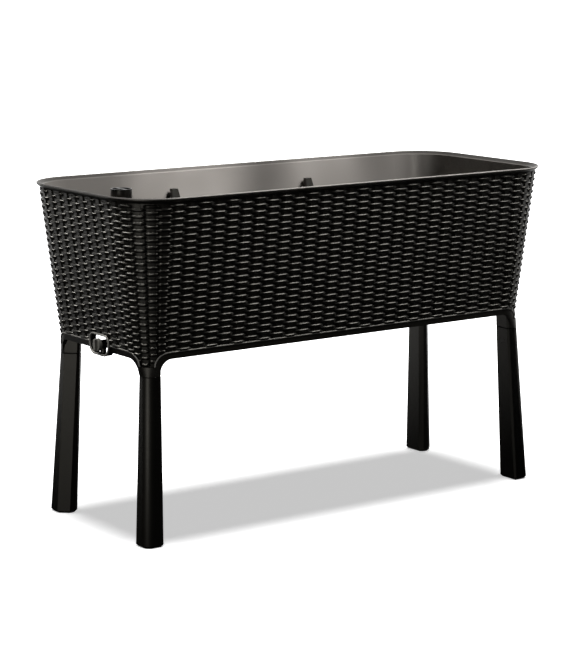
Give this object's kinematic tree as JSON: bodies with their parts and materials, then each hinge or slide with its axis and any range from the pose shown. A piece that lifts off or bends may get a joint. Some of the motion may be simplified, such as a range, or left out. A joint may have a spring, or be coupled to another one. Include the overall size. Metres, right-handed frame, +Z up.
{
  "type": "raised self-watering planter",
  "caption": "Raised garden planter: woven-look tapered tub on splayed plug-on legs, with lift-out trays over a water store, a float gauge and a quarter-turn drain tap.",
  "frame": {"origin": "on the ground under the middle of the tub", "axes": "+X along the tub away from the tap end, +Y to the back, +Z up; the front long side is -Y"},
  "size_m": [1.14, 0.48, 0.7425],
  "materials": {
    "tub_resin": "satin moulded resin with a woven pattern",
    "leg_resin": "satin moulded resin",
    "tray_resin": "satin moulded resin",
    "fitting_resin": "satin moulded resin",
    "float_foam": "closed-cell foam"
  },
  "bodies": {
    "planter": {"planter_tub": "tub_resin", "leg_front_left": "leg_resin", "leg_front_right": "leg_resin", "leg_back_left": "leg_resin", "leg_back_right": "leg_resin", "tray_left": "tray_resin", "tray_right": "tray_resin", "gauge_tube": "fitting_resin", "gauge_cap": "fitting_resin", "tap_body": "fitting_resin", "tap_lock_nut": "fitting_resin"},
    "tap_valve": {"tap_knob": "fitting_resin", "tap_plug": "fitting_resin"},
    "gauge_indicator": {"gauge_float": "float_foam", "gauge_rod": "fitting_resin"}
  },
  "joints": [
    {"name": "tap_turn", "type": "hinge", "parent": "planter", "child": "tap_valve", "pos_m": [-0.532, -0.02, 0.408], "axis": [-1, 0, 0], "range_deg": [0, 90]},
    {"name": "gauge_rise", "type": "slide", "parent": "planter", "child": "gauge_indicator", "axis": [0, 0, 1], "range_m": [0, 0.045]}
  ]
}
